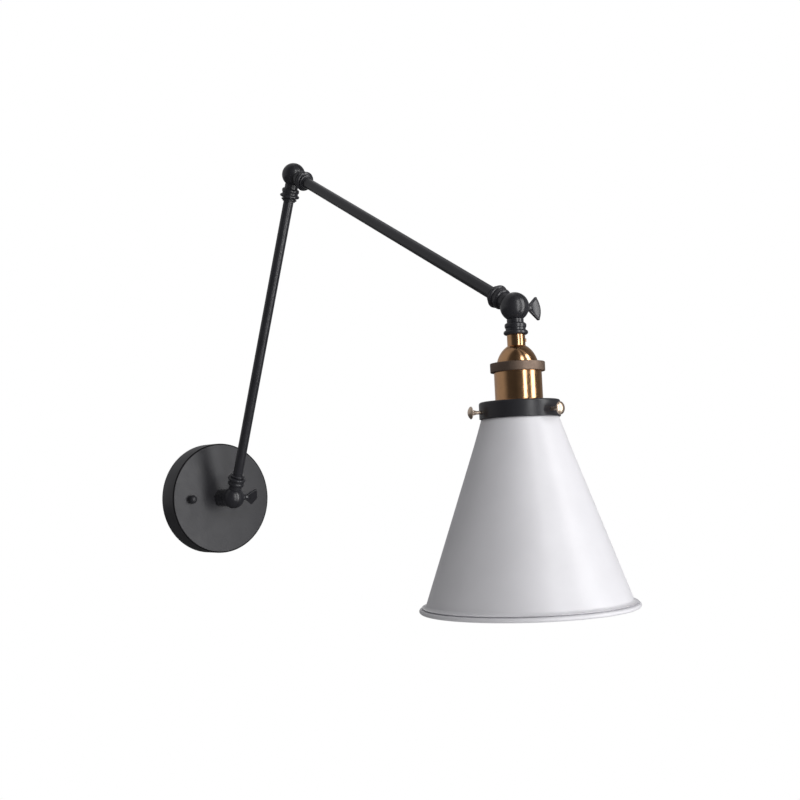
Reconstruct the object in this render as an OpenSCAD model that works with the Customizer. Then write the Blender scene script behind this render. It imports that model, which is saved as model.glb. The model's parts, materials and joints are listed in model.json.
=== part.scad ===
// Adjustable wall lamp: round canopy, two tube arms on ball swivels, brass lampholder and cone shade.
// Origin: centre of the canopy's back on the wall. -Y points into the room, +X right, +Z up. Millimetres.

/* [Pose at rest] */
// Angle of the lower arm from straight up, leaning out from the wall
lower_arm_angle = 23; // [0:0.1:60]
// Angle of the upper arm from straight up
upper_arm_angle = 120.4; // [95:0.1:125]
// Angle of the head from straight up, 180 being straight down
head_angle = 180; // [165:1:195]
// Turn of the lower wing screw about its axis
base_wing_angle = 34; // [-90:1:90]
// Turn of the upper wing screw about its axis
head_wing_angle = -7; // [-90:1:90]
// Turn of the three shade screws about the head's axis
shade_screw_turn = 5; // [-30:0.5:30]

/* [Canopy] */
// Outside diameter of the canopy
canopy_d = 123; // [112:1:160]
// How far the canopy stands out from the wall
canopy_depth = 25; // [24:1:40]
// Sheet thickness of the canopy
canopy_wall = 1.2; // [0.8:0.1:2]
// Radius of the canopy's front edge
canopy_edge_r = 1.8; // [1:0.1:4]
// Distance between the two canopy studs
stud_spacing = 78; // [76:1:84]
// Diameter of the canopy studs
stud_d = 4; // [3:0.5:5]
// Diameter of the cap nuts
cap_nut_d = 9.5; // [8:0.5:12]
// Height of the cap nuts
cap_nut_h = 8.2; // [7:0.1:10]
// Height of a cap nut's straight skirt
cap_nut_skirt = 3.6; // [2:0.1:4.5]

/* [Mounting bar] */
// Width of the mounting bar
bar_w = 20; // [18:1:30]
// Thickness of the mounting bar
bar_t = 2; // [1.5:0.1:3]
// Length of bar outside each stud
bar_end = 13; // [8:1:13]
// Distance between the two wall screw slots
wall_screw_spacing = 60; // [58:1:60]
// Width of a wall screw slot
slot_w = 4.5; // [3.5:0.1:5]
// Length of a wall screw slot
slot_len = 10; // [8:0.5:11]
// Diameter of the earth screw
earth_screw_d = 4; // [3:0.5:4]
// Height of the earth screw above the bar's middle
earth_screw_rise = 6; // [5.5:0.1:7]

/* [Canopy stem] */
// Diameter of the stem
stem_d = 19.5; // [18:0.5:21]
// Distance from the canopy's face to the first pivot
stem_reach = 25; // [22:0.5:40]
// Diameter of the stem's threaded end
thread_d = 10; // [9:0.5:12]
// Wall of the threaded ends around the wires
thread_wall = 1.4; // [1:0.1:1.5]
// Thickness of the lock washer
lock_washer_t = 0.6; // [0.4:0.1:1]
// Diameter of the lock washer
lock_washer_d = 18; // [16:0.5:24]
// Width of the locknut across its flats
locknut_flats = 17; // [15:0.5:20]
// Thickness of the locknut
locknut_t = 4; // [3:0.5:5]
// Thread that shows past the locknut
thread_past_nut = 1.5; // [0.5:0.5:3]

/* [Swivels] */
// Diameter of the swivel balls
ball_d = 24; // [22:0.5:28]
// Thickness of the friction washer between the halves of a ball
washer_t = 0.6; // [0.4:0.1:1]
// Width of the rim around the hollow of a ball
rim_wall = 3; // [2.6:0.1:3.2]
// Diameter of the pivot screws
pivot_d = 5; // [4:0.5:5.5]
// Wall around a pivot screw inside the ball
boss_wall = 1.7; // [1.2:0.1:2]
// Metal left between a blind pivot hole and the outside of the ball
blind_wall = 2.6; // [1.5:0.1:4]
// How far the seat of a pivot screw's head is cut into the ball
seat_cut = 1.15; // [0.8:0.05:1.5]

/* [Knuckle turnings] */
// Diameter of the neck under a ball
neck_d = 13.8; // [12.5:0.1:15]
// Neck that shows between the ball and the first bead of an arm's knuckle
arm_neck_show = 2.4; // [1:0.1:3]
// Neck that shows between the ball and the first bead of the head's knuckle
head_neck_show = 1.3; // [1:0.1:3]
// Diameter of the first bead
bead_d = 18; // [15:0.1:18.6]
// Width of the first bead
bead_w = 4.4; // [3:0.1:5]
// Diameter of the groove between bead and flange
groove_d = 16.5; // [13:0.1:17]
// Width of the groove
groove_w = 1.8; // [1:0.1:3]
// Diameter of the flange bead
flange_d = 20.2; // [18:0.1:22]
// Width of the flange bead
flange_w = 3.8; // [2:0.1:4.4]
// Width of the groove behind the flange bead
tail_groove_w = 0.5; // [0.4:0.1:1.5]
// Diameter of the last bead
tail_d = 16.2; // [14:0.1:18]
// Width of the last bead
tail_w = 2.1; // [1.5:0.1:3.5]
// Diameter of the knuckle's mouth around the tube
mouth_d = 13.2; // [12.6:0.1:14]
// Length of the taper to the mouth
mouth_len = 1; // [0.5:0.1:4]

/* [Arm tubes] */
// Outside diameter of the arm tubes
tube_d = 10.6; // [10:0.1:10.8]
// Wall of the arm tubes
tube_wall = 1; // [0.6:0.1:1]
// Length of tube that shows on each arm
tube_show = 304.8; // [200:0.1:400]
// How deep a tube sits in a knuckle
tube_insert = 11; // [8:0.5:11]

/* [Wing screws] */
// Span of a wing across its two lobes
wing_span = 20.2; // [16:0.1:24]
// How far the wing reaches out from the shoulder of its screw
wing_reach = 17.4; // [15:0.1:20]
// Thickness of the wing at its raised edge
wing_t = 2.6; // [2:0.1:3.5]
// Width of the wing's raised edge
wing_edge_w = 1.6; // [1:0.1:2]
// Depth of the recess in each face of the wing
wing_recess = 0.5; // [0.3:0.1:0.8]
// Length of the round neck between shoulder and wing
wing_neck_len = 4.8; // [2:0.1:6]
// Width of the wing where it leaves its neck
wing_root_w = 7; // [5:0.1:9]
// Diameter of the wing screw's shoulder
shoulder_d = 8.8; // [8:0.1:9.5]
// Height of the shoulder
shoulder_h = 1.6; // [1:0.1:3]
// Diameter of the wing's neck
wing_neck_d = 6.2; // [5:0.1:8]
// Diameter of the elbow screw's head
elbow_head_d = 9.2; // [8:0.1:9.6]
// Height of the elbow screw's head
elbow_head_h = 2.8; // [2:0.1:4]
// Width of the elbow screw's hexagon socket
elbow_key = 3; // [2:0.5:3]

/* [Wires] */
// Diameter of one insulated wire
lead_d = 1.9; // [1.6:0.1:1.9]
// Radius of the wires' bends behind the canopy
lead_bend = 4.5; // [3:0.5:5]
// Diameter of a wire connector at its mouth
connector_d = 9; // [8:0.5:9]
// Length of a wire connector
connector_len = 15; // [12:0.5:15]

/* [Lampholder] */
// Diameter of the brass neck
brass_neck_d = 14.9; // [13.5:0.1:16]
// Length of the brass neck
brass_neck_len = 9; // [7:0.1:14]
// Diameter of the threaded nipple inside the brass neck
nipple_d = 9.8; // [9:0.1:10]
// Diameter of the set screw in the brass neck
set_screw_d = 2.6; // [2:0.1:3]
// How far the set screw stands out of the neck
set_screw_out = 0.8; // [0.2:0.1:1.5]
// Diameter of the brass dome at its foot
dome_d = 33.6; // [30:0.1:34]
// Height of the brass dome
dome_h = 13.9; // [9:0.1:16]
// Sheet thickness of the dome
dome_wall = 1; // [0.6:0.1:1.4]
// Depth of the dome's skirt inside the band
skirt_h = 2.6; // [1.5:0.1:4]
// Diameter of the wide band
band_d = 44.8; // [42:0.1:50]
// Height of the wide band
band_h = 7.5; // [6:0.1:12]
// Outside diameter of the brass shell
shell_d = 39; // [38:0.1:40]
// Wall of the brass shell
shell_wall = 0.8; // [0.6:0.1:1]
// Length of brass shell that shows under the band
shell_show = 23.8; // [22:0.1:40]
// How far the shell's threaded end reaches into the shade holder
shell_end = 7; // [6:0.1:8]
// Width of the lip on which the shade holder is clamped
lip_w = 1.2; // [0.8:0.1:2]
// How far the lip stands out of the shell
lip_out = 0.8; // [0.4:0.1:1.5]

/* [Socket inside] */
// Inside diameter of the screw shell for a medium screw base
screw_shell_d = 26.5; // [26.3:0.1:27]
// Sheet thickness of the screw shell
screw_shell_wall = 0.5; // [0.3:0.1:0.8]
// Thickness of the insulator's floor
core_floor = 6; // [4:0.5:8]
// How deep the insulator's cup is
core_cup = 28.5; // [24:0.5:29]
// How much shorter than the cup the screw shell is
screw_shell_inset = 1.5; // [0.5:0.1:3]
// Diameter of the centre contact's plate
contact_d = 8; // [6:0.5:10]
// Height of the centre contact
contact_h = 3.7; // [3:0.1:5]
// Diameter of the terminal screws' heads
terminal_d = 5; // [4:0.5:6]
// Height of the terminal screws' heads
terminal_h = 1.8; // [1:0.1:3]
// Distance between the terminal screws
terminal_spacing = 20; // [18:0.5:22]

/* [Shade holder] */
// Outside diameter of the shade holder
collar_d = 66.2; // [64:0.1:72]
// Height of the shade holder
collar_h = 13.9; // [13:0.1:20]
// Sheet thickness of the shade holder
collar_wall = 1; // [0.8:0.1:1.4]
// Radius of the shade holder's top edge
collar_edge_r = 2.2; // [1:0.1:4]
// Outside diameter of the threaded clamping ring
ring_nut_d = 52; // [46:0.5:53]
// Height of the threaded clamping ring
ring_nut_h = 4; // [3:0.1:5]
// Height of the shade screws above the holder's lower edge
shade_screw_rise = 5.3; // [4.5:0.1:5.5]
// Diameter of a shade screw's shank
shade_screw_d = 3; // [2.4:0.1:3.2]
// How far a shade screw stands out of the holder
shade_screw_out = 11.2; // [9:0.1:14]
// Diameter of a shade screw's dished head
shade_screw_head_d = 10.4; // [9:0.1:12]
// Depth of the dish
shade_screw_dish_h = 2.4; // [1.6:0.1:3]
// Thickness of the dish
shade_screw_dish_t = 0.9; // [0.6:0.1:1.2]
// Diameter of the cone behind the dish at its wide end
shade_screw_cone_d = 5.6; // [4.6:0.1:6.4]
// Length of the cone behind the dish
shade_screw_cone_len = 6; // [4:0.1:7]

/* [Shade] */
// Diameter of the shade at its rim
shade_d = 177.8; // [150:0.1:220]
// Height of the shade from the holder's lower edge to the rim
shade_h = 154.3; // [120:0.1:200]
// Sheet thickness of the shade
shade_wall = 0.8; // [0.6:0.1:1.2]
// Diameter of the shade where it leaves the holder
shade_top_d = 63.4; // [62:0.1:63.6]
// Outside diameter of the shade's neck inside the holder
shade_neck_d = 56.8; // [56:0.1:57.4]
// Height of the shade's neck inside the holder
shade_neck_h = 9.8; // [9:0.1:10]
// How far the lip at the top of the neck stands out
shade_lip_out = 1.6; // [1:0.1:2]
// Radius of the rolled bead on the rim
shade_bead_r = 1.8; // [1.2:0.1:3]
// How far above the rim the shade's straight side ends in a flare
shade_flare_rise = 8.6; // [7.5:0.1:12]
// How much wider than the foot of the straight side the flare's edge is, all round
shade_flare_out = 4.8; // [3:0.1:6]
// Height of the flare
shade_flare_h = 2.8; // [2:0.1:3.5]
// How far the rolled bead stands out past the flare's edge
shade_bead_out = 2.2; // [1:0.1:2.6]
// Depth of the groove between the flare and the bead
shade_groove_in = 1; // [0.5:0.1:1.4]

/* [Bulb] */
// Largest diameter of the bulb
bulb_d = 60; // [45:1:60]
// Length of the bulb from its contact to its end
bulb_len = 107; // [100:1:120]
// Diameter of the bulb's screw cap
bulb_cap_d = 26; // [25:0.1:26]
// Length of the bulb's screw cap
bulb_cap_len = 24.5; // [22:0.5:26]
// Glass thickness
glass_wall = 1; // [0.6:0.1:1.2]
// Number of filaments
filaments = 4; // [2:1:6]

/* [Hidden] */
$fn = 96;

// Clearances: turning fits, pieces that sit in each other, and free gaps between moving curved faces
running_gap = 0.05;
fit_gap = 0.05;
seat_gap = 0.3;
relief_gap = 0.4;
hole_gap = 0.3;
// How far every cut runs past the face that it opens
overrun = 1;
// Segments of a turned bead, of an edge radius and of a dome
bead_steps = 8;
edge_steps = 6;
dome_steps = 14;

// Canopy, bar and stem
canopy_r = canopy_d / 2;
stud_r = stud_d / 2;
bar_len = stud_spacing + 2 * bar_end;
slot_r = slot_w / 2;
earth_head_share = 0.8;
earth_head_r = earth_screw_d * earth_head_share;
earth_head_h = earth_screw_d / 2;
stud_past_face = cap_nut_h - stud_r - seat_gap;
thread_r = thread_d / 2;
canopy_inside = canopy_depth - canopy_wall;
locknut_seat = canopy_inside - lock_washer_t;
thread_end = locknut_seat - locknut_t - thread_past_nut;

// Swivels
ball_r = ball_d / 2;
relief_r = ball_r + relief_gap;
pivot_r = pivot_d / 2;
boss_r = pivot_r + boss_wall;
hollow_r = ball_r - rim_wall;
lead_r = lead_d / 2;
channel_r = lead_d + relief_gap;
channel_x = washer_t / 2 + lead_d;
hollow_depth = channel_x + channel_r;
hollow_mid = (boss_r + hollow_r) / 2;
lead_start = hollow_mid - lead_r;
lead_pitch_share = 1.02;
lead_y = lead_r * lead_pitch_share;
blind_depth = ball_r - blind_wall;
screw_seat = ball_r - seat_cut;
tube_r = tube_d / 2;
arm_bead_start = ball_r + arm_neck_show;
head_bead_start = ball_r + head_neck_show;
flange_offset = bead_w + groove_w;
arm_flange_end = arm_bead_start + flange_offset + flange_w;
head_flange_start = head_bead_start + flange_offset;
head_flange_end = head_flange_start + flange_w;
tail_start = arm_flange_end + tail_groove_w;
taper_start = tail_start + tail_w;
knuckle_len = taper_start + mouth_len;
tube_seat = knuckle_len - tube_insert;
arm_pitch = tube_show + 2 * knuckle_len;

// Pivots, and the direction of an arm at an angle from straight up
function arm_dir(a) = [0, -sin(a), cos(a)];
base_pivot = [0, -(canopy_depth + stem_reach), 0];
elbow_pivot = base_pivot + arm_pitch * arm_dir(lower_arm_angle);
head_pivot = elbow_pivot + arm_pitch * arm_dir(upper_arm_angle);

// Wires behind the canopy
connector_r = connector_d / 2;
connector_y = bar_t + seat_gap + connector_r;
connector_bore_r = lead_r + seat_gap;
connector_tip_share = 0.75;
connector_bore_share = 0.6;
lead_run_share = 1.5;
lead_run = lead_d * lead_run_share;

// Lampholder, measured down the head's axis from its pivot
brass_neck_start = head_flange_end;
nipple_r = nipple_d / 2;
dome_start = brass_neck_start + brass_neck_len;
band_start = dome_start + dome_h;
core_start = band_start + skirt_h;
shell_start = band_start + band_h;
collar_start = shell_start + shell_show;
collar_end = collar_start + collar_h;
shell_stop = collar_start + shell_end;
brass_neck_r = brass_neck_d / 2;
dome_r = dome_d / 2;
shell_r = shell_d / 2;
core_r = shell_r - shell_wall - seat_gap;
cup_start = core_start + core_floor;
cup_end = cup_start + core_cup;
screw_shell_r = screw_shell_d / 2;
cup_r = screw_shell_r + screw_shell_wall + fit_gap;
contact_end = cup_start + contact_h;
nipple_len = brass_neck_len - seat_gap;

// Shade holder and shade
collar_r = collar_d / 2;
screw_level = collar_end - shade_screw_rise;
shade_neck_r = shade_neck_d / 2;
shade_rim = collar_end + shade_h;
shade_shoulder = collar_end + seat_gap;
shade_neck_top = shade_shoulder - shade_neck_h;
shade_lip_share = 1.5;
shade_lip_h = shade_wall * shade_lip_share;
bead_centre_r = shade_d / 2 - shade_bead_r;
bead_level = shade_rim - shade_bead_r;
shade_foot = shade_rim - shade_flare_rise;
shade_flare_r = shade_d / 2 - shade_bead_out;
shade_foot_r = shade_flare_r - shade_flare_out;
// The side is a little flatter just under the holder: this far down, at this part of the way out
shade_ease_len_share = 0.116;
shade_ease_out_share = 0.106;
screw_tip_r = shade_neck_r + fit_gap;
shade_screws = 3;
shade_screw_r = shade_screw_d / 2;
dish_r = shade_screw_head_d / 2;
dish_sphere_r = (pow(dish_r, 2) + pow(shade_screw_dish_h, 2)) / (2 * shade_screw_dish_h);
dish_inner_r = dish_sphere_r - shade_screw_dish_t;
dish_centre = collar_r + shade_screw_out - dish_sphere_r;

// Bulb
bulb_tip = contact_end + seat_gap;
bulb_cap_r = bulb_cap_d / 2;
bulb_cap_end = bulb_tip + bulb_cap_len;
bulb_end = bulb_tip + bulb_len;
bulb_r = bulb_d / 2;
bulb_middle = bulb_end - bulb_r;
bulb_cap_wall = 0.5;
bulb_neck_r = bulb_cap_r - bulb_cap_wall - seat_gap;
bulb_tip_h = 2;
bulb_cone_h = 3.2;

black_metal = [0.10, 0.10, 0.11];
plain_steel = [0.62, 0.63, 0.65];
brass = [0.68, 0.47, 0.22];
bronze = [0.42, 0.34, 0.28];
copper_brass = [0.86, 0.62, 0.42];
white_enamel = [0.93, 0.93, 0.94];

// Outline helpers: an arc about a point, and a round bead between two stations of a turned profile
function arc(x, y, r, from, to, steps) =
    [for (i = [0 : steps]) let (a = from + (to - from) * i / steps) [x + r * cos(a), y + r * sin(a)]];
function bead(start, width, foot_r, top_r, end_r) =
    [for (i = [0 : bead_steps]) let (a = 180 * i / bead_steps, side_r = a < 90 ? foot_r : end_r)
        [side_r + (top_r - side_r) * sin(a), start + width * (1 - cos(a)) / 2]];

// Frames: local +Z runs away from the wall, or along an arm from its pivot
module out_of_wall() {
    rotate([90, 0, 0]) children();
}
module at_pivot(place, angle) {
    translate(place) rotate([angle, 0, 0]) children();
}
module along_x(start) {
    translate([start, 0, 0]) rotate([0, 90, 0]) children();
}
module ring(outer_r, inner_r, height) {
    difference() {
        cylinder(r = outer_r, h = height);
        translate([0, 0, -overrun]) cylinder(r = inner_r, h = height + 2 * overrun);
    }
}

// Half of a swivel ball on the +X side, with its turned stem along +Z
module plain_half(outline, through) {
    difference() {
        rotate_extrude() union() {
            intersection() {
                circle(r = ball_r);
                translate([0, -ball_r]) square([ball_r, 2 * ball_r]);
            }
            polygon(outline);
        }
        intersection() {
            sphere(r = relief_r);
            translate([-2 * relief_r + washer_t / 2, -relief_r, -relief_r])
                cube([2 * relief_r, 2 * relief_r, 2 * relief_r]);
        }
        along_x(0) difference() {
            cylinder(r = hollow_r, h = hollow_depth);
            translate([0, 0, -overrun]) cylinder(r = boss_r, h = hollow_depth + 2 * overrun);
        }
        if (through) {
            along_x(-overrun) cylinder(r = pivot_r + running_gap, h = ball_d);
            along_x(screw_seat) cylinder(r = shoulder_d / 2 + relief_gap + seat_gap, h = ball_r);
        } else {
            along_x(-overrun) cylinder(r = pivot_r + fit_gap, h = blind_depth + overrun);
        }
    }
}
module half_ball(outline, side) {
    if (side < 0) mirror([1, 0, 0]) plain_half(outline, false);
    else plain_half(outline, true);
}
// The bore for the wires lies on the half's own side of the ball, so that the other half never meets them
module wire_channel(side, end) {
    translate([side * channel_x, 0, hollow_mid]) cylinder(r = channel_r, h = end - hollow_mid);
}

// Neck, first bead and flange bead of a knuckle whose first bead starts at this distance from the pivot
function knuckle_points(start, end_r) = concat([[0, 0], [neck_d / 2, 0]],
    bead(start, bead_w, neck_d / 2, bead_d / 2, groove_d / 2),
    bead(start + flange_offset, flange_w, groove_d / 2, flange_d / 2, end_r));
arm_outline = concat(knuckle_points(arm_bead_start, mouth_d / 2),
    bead(tail_start, tail_w, mouth_d / 2, tail_d / 2, mouth_d / 2),
    [[mouth_d / 2, knuckle_len], [0, knuckle_len]]);
stem_end = stem_reach + canopy_depth - thread_end;
stem_outline = [[0, 0], [stem_d / 2, 0], [stem_d / 2, stem_reach], [thread_r, stem_reach],
    [thread_r, stem_end], [0, stem_end]];
head_outline = concat(knuckle_points(head_bead_start, groove_d / 2),
    [[nipple_r, head_flange_end], [nipple_r, head_flange_end + nipple_len],
    [0, head_flange_end + nipple_len]]);

module arm_knuckle(side) {
    color(black_metal) difference() {
        half_ball(arm_outline, side);
        wire_channel(side, tube_seat + overrun);
        translate([0, 0, tube_seat]) cylinder(r = tube_r + fit_gap, h = tube_insert + overrun);
    }
}
module arm_tube() {
    color(black_metal) translate([0, 0, tube_seat + fit_gap])
        ring(tube_r, tube_r - tube_wall, arm_pitch - 2 * (tube_seat + fit_gap));
}
// Two wires that cross from the +X side of one swivel to the -X side of the next
module arm_wires() {
    run = arm_pitch - 2 * lead_start;
    lean = atan2(-2 * channel_x, run);
    color("dimgray") for (side = [-1, 1])
        translate([channel_x, side * lead_y, lead_start]) rotate([0, lean, 0])
            cylinder(r = lead_r, h = norm([2 * channel_x, run]));
}
module friction_washer(place) {
    color("silver") translate(place) along_x(-washer_t / 2)
        ring(ball_r - seat_gap, hollow_r, washer_t);
}

// Wing of a clamping screw: a fan with an arched edge, a round lobe at each tip and a recess in each face
wing_arch_share = 0.8;
wing_lobe_share = 0.6;
wing_recess_turn_share = 0.86;
wing_arch_r = wing_span * wing_arch_share;
wing_lobe_r = wing_t * wing_lobe_share;
wing_tip_y = wing_span / 2 - wing_lobe_r;
wing_tip_angle = asin(wing_tip_y / wing_arch_r);
wing_centre = wing_reach - wing_arch_r;
wing_tip_x = wing_centre + (wing_arch_r - wing_lobe_r) * cos(wing_tip_angle);
wing_neck_r = wing_neck_d / 2;
module wing_plate() {
    linear_extrude(height = wing_t) {
        polygon(concat(
            arc(wing_centre, 0, wing_arch_r, -wing_tip_angle, wing_tip_angle, 2 * dome_steps),
            [[wing_tip_x - wing_lobe_r, wing_tip_y], [wing_neck_len, wing_root_w / 2],
            [wing_neck_len, -wing_root_w / 2], [wing_tip_x - wing_lobe_r, -wing_tip_y]]));
        for (side = [-1, 1]) translate([wing_tip_x, side * wing_tip_y]) circle(r = wing_lobe_r);
    }
}
module wing_pocket() {
    turn = wing_tip_angle * wing_recess_turn_share;
    root_y = (wing_root_w - wing_edge_w) / 2;
    linear_extrude(height = wing_recess + overrun) polygon(concat(
        arc(wing_centre, 0, wing_arch_r - wing_edge_w, -turn, turn, 2 * dome_steps),
        [[wing_neck_len + wing_edge_w, root_y], [wing_neck_len + wing_edge_w, -root_y]]));
}
module wing_screw(place, turn) {
    color(black_metal) translate(place) rotate([90 + turn, 0, 0]) {
        along_x(-blind_depth + seat_gap) cylinder(r = pivot_r, h = blind_depth - seat_gap + screw_seat);
        along_x(screw_seat) cylinder(r = shoulder_d / 2, h = shoulder_h);
        along_x(screw_seat + shoulder_h) cylinder(r = wing_neck_r, h = wing_neck_len);
        along_x(screw_seat + shoulder_h + wing_neck_len)
            cylinder(r1 = wing_neck_r, r2 = wing_t / 2, h = wing_neck_r);
        translate([screw_seat + shoulder_h, 0, -wing_t / 2]) difference() {
            wing_plate();
            translate([0, 0, wing_t - wing_recess]) wing_pocket();
            translate([0, 0, -overrun]) wing_pocket();
        }
    }
}

// Wall mount
module canopy() {
    inner_edge_r = max(canopy_edge_r - canopy_wall, canopy_wall / 4);
    color(black_metal) out_of_wall() difference() {
        rotate_extrude() polygon(concat(
            [[canopy_r - canopy_wall, 0], [canopy_r, 0]],
            arc(canopy_r - canopy_edge_r, canopy_depth - canopy_edge_r, canopy_edge_r, 0, 90, edge_steps),
            [[thread_r + hole_gap, canopy_depth], [thread_r + hole_gap, canopy_inside]],
            arc(canopy_r - canopy_wall - inner_edge_r, canopy_inside - inner_edge_r,
                inner_edge_r, 90, 0, edge_steps)));
        for (side = [-1, 1]) translate([side * stud_spacing / 2, 0, 0])
            cylinder(r = stud_r + hole_gap, h = canopy_depth + overrun);
    }
}
module mounting_bar() {
    color(plain_steel) out_of_wall() difference() {
        translate([-bar_len / 2, -bar_w / 2, 0]) cube([bar_len, bar_w, bar_t]);
        for (side = [-1, 1]) {
            translate([side * stud_spacing / 2, 0, -overrun])
                cylinder(r = stud_r + fit_gap, h = bar_t + 2 * overrun);
            translate([side * wall_screw_spacing / 2, 0, -overrun])
                linear_extrude(height = bar_t + 2 * overrun) {
                    square([slot_len - slot_w, slot_w], center = true);
                    for (end = [-1, 1]) translate([end * (slot_len - slot_w) / 2, 0]) circle(r = slot_r);
                }
        }
        translate([0, earth_screw_rise, -overrun])
            cylinder(r = earth_screw_d / 2 + fit_gap, h = bar_t + 2 * overrun);
    }
}
module canopy_studs() {
    color(plain_steel) out_of_wall() for (side = [-1, 1])
        translate([side * stud_spacing / 2, 0, 0])
            cylinder(r = stud_r, h = canopy_depth + stud_past_face);
}
module cap_nuts() {
    nut_r = cap_nut_d / 2;
    color(black_metal) out_of_wall() for (side = [-1, 1])
        translate([side * stud_spacing / 2, 0, canopy_depth]) difference() {
            rotate_extrude() polygon(concat([[0, 0], [nut_r, 0], [nut_r, cap_nut_skirt]],
                [for (i = [1 : dome_steps]) let (a = 90 * i / dome_steps)
                    [nut_r * cos(a), cap_nut_skirt + (cap_nut_h - cap_nut_skirt) * sin(a)]]));
            translate([0, 0, -overrun])
                cylinder(r = stud_r + fit_gap, h = stud_past_face + seat_gap + overrun);
        }
}
module earth_screw() {
    color("seagreen") out_of_wall() translate([0, earth_screw_rise, 0]) {
        translate([0, 0, seat_gap]) cylinder(r = earth_screw_d / 2, h = bar_t - seat_gap);
        translate([0, 0, bar_t]) difference() {
            cylinder(r = earth_head_r, h = earth_head_h);
            translate([-earth_head_r - overrun, -earth_head_h / 4, earth_head_h / 2])
                cube([2 * (earth_head_r + overrun), earth_head_h / 2, earth_head_h]);
        }
    }
}
module stem_knuckle() {
    color(black_metal) at_pivot(base_pivot, -90) difference() {
        half_ball(stem_outline, -1);
        wire_channel(-1, stem_reach + overrun);
        translate([0, 0, stem_reach]) cylinder(r = thread_r - thread_wall, h = stem_end);
    }
}
module lock_washer() {
    color(plain_steel) out_of_wall() translate([0, 0, locknut_seat])
        ring(lock_washer_d / 2, thread_r + fit_gap, lock_washer_t);
}
module locknut() {
    color(plain_steel) out_of_wall() translate([0, 0, locknut_seat - locknut_t]) difference() {
        cylinder(r = locknut_flats / 2 / cos(30), h = locknut_t, $fn = 6);
        translate([0, 0, -overrun]) cylinder(r = thread_r + fit_gap, h = locknut_t + 2 * overrun);
    }
}
// From the hollow of the first ball through the stem, then sideways into the wire connectors
module stem_wires() {
    run = -base_pivot.y - lead_start - connector_y - lead_bend;
    color("dimgray") for (side = [-1, 1])
        translate([-channel_x, -connector_y - lead_bend, side * lead_y]) {
            rotate([90, 0, 0]) cylinder(r = lead_r, h = run);
            mirror([side < 0 ? 1 : 0, 0, 0]) translate([lead_bend, 0, 0]) {
                rotate([0, 0, 90]) rotate_extrude(angle = 90) translate([lead_bend, 0]) circle(r = lead_r);
                translate([0, lead_bend, 0]) rotate([0, 90, 0])
                    cylinder(r = lead_r, h = lead_run + connector_len * connector_bore_share - seat_gap);
            }
        }
}
module wire_connectors() {
    color("goldenrod") for (side = [-1, 1])
        translate([-channel_x + side * (lead_bend + lead_run), -connector_y, side * lead_y])
            rotate([0, side * 90, 0]) difference() {
                cylinder(r1 = connector_r, r2 = connector_r * connector_tip_share, h = connector_len);
                translate([0, 0, -overrun])
                    cylinder(r = connector_bore_r, h = connector_len * connector_bore_share + overrun);
            }
}
module base_washer() {
    friction_washer(base_pivot);
}
module base_wing_screw() {
    wing_screw(base_pivot, base_wing_angle);
}

// Lower arm
module lower_foot_knuckle() {
    at_pivot(base_pivot, lower_arm_angle) arm_knuckle(1);
}
module lower_arm_tube() {
    at_pivot(base_pivot, lower_arm_angle) arm_tube();
}
module lower_arm_wires() {
    at_pivot(base_pivot, lower_arm_angle) arm_wires();
}
module lower_top_knuckle() {
    at_pivot(elbow_pivot, lower_arm_angle + 180) arm_knuckle(-1);
}
module elbow_screw() {
    head_r = elbow_head_d / 2;
    color(black_metal) translate(elbow_pivot) difference() {
        union() {
            along_x(-blind_depth + seat_gap) cylinder(r = pivot_r, h = blind_depth - seat_gap + screw_seat);
            along_x(screw_seat) rotate_extrude() polygon(concat([[0, 0]],
                [for (i = [0 : dome_steps]) let (a = 90 * i / dome_steps)
                    [head_r * cos(a), elbow_head_h * sin(a)]]));
        }
        along_x(screw_seat + elbow_head_h / 2)
            cylinder(r = elbow_key / 2 / cos(30), h = elbow_head_h, $fn = 6);
    }
}
module elbow_washer() {
    friction_washer(elbow_pivot);
}

// Upper arm
module upper_foot_knuckle() {
    at_pivot(elbow_pivot, upper_arm_angle) arm_knuckle(1);
}
module upper_arm_tube() {
    at_pivot(elbow_pivot, upper_arm_angle) arm_tube();
}
module upper_arm_wires() {
    at_pivot(elbow_pivot, upper_arm_angle) arm_wires();
}
module upper_end_knuckle() {
    at_pivot(head_pivot, upper_arm_angle + 180) arm_knuckle(-1);
}
module head_washer() {
    friction_washer(head_pivot);
}
module head_wing_screw() {
    wing_screw(head_pivot, head_wing_angle);
}

// Head, in its own frame: +Z down the lamp's axis from the pivot
module head_frame() {
    at_pivot(head_pivot, head_angle) children();
}
module head_knuckle() {
    color(black_metal) head_frame() difference() {
        half_ball(head_outline, 1);
        wire_channel(1, head_flange_end);
        translate([0, 0, head_flange_start])
            cylinder(r = nipple_r - thread_wall, h = flange_w + nipple_len + overrun);
    }
}
module head_wires() {
    color("dimgray") head_frame() for (side = [-1, 1])
        translate([channel_x, side * lead_y, lead_start]) cylinder(r = lead_r, h = core_start - lead_start);
}
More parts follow.
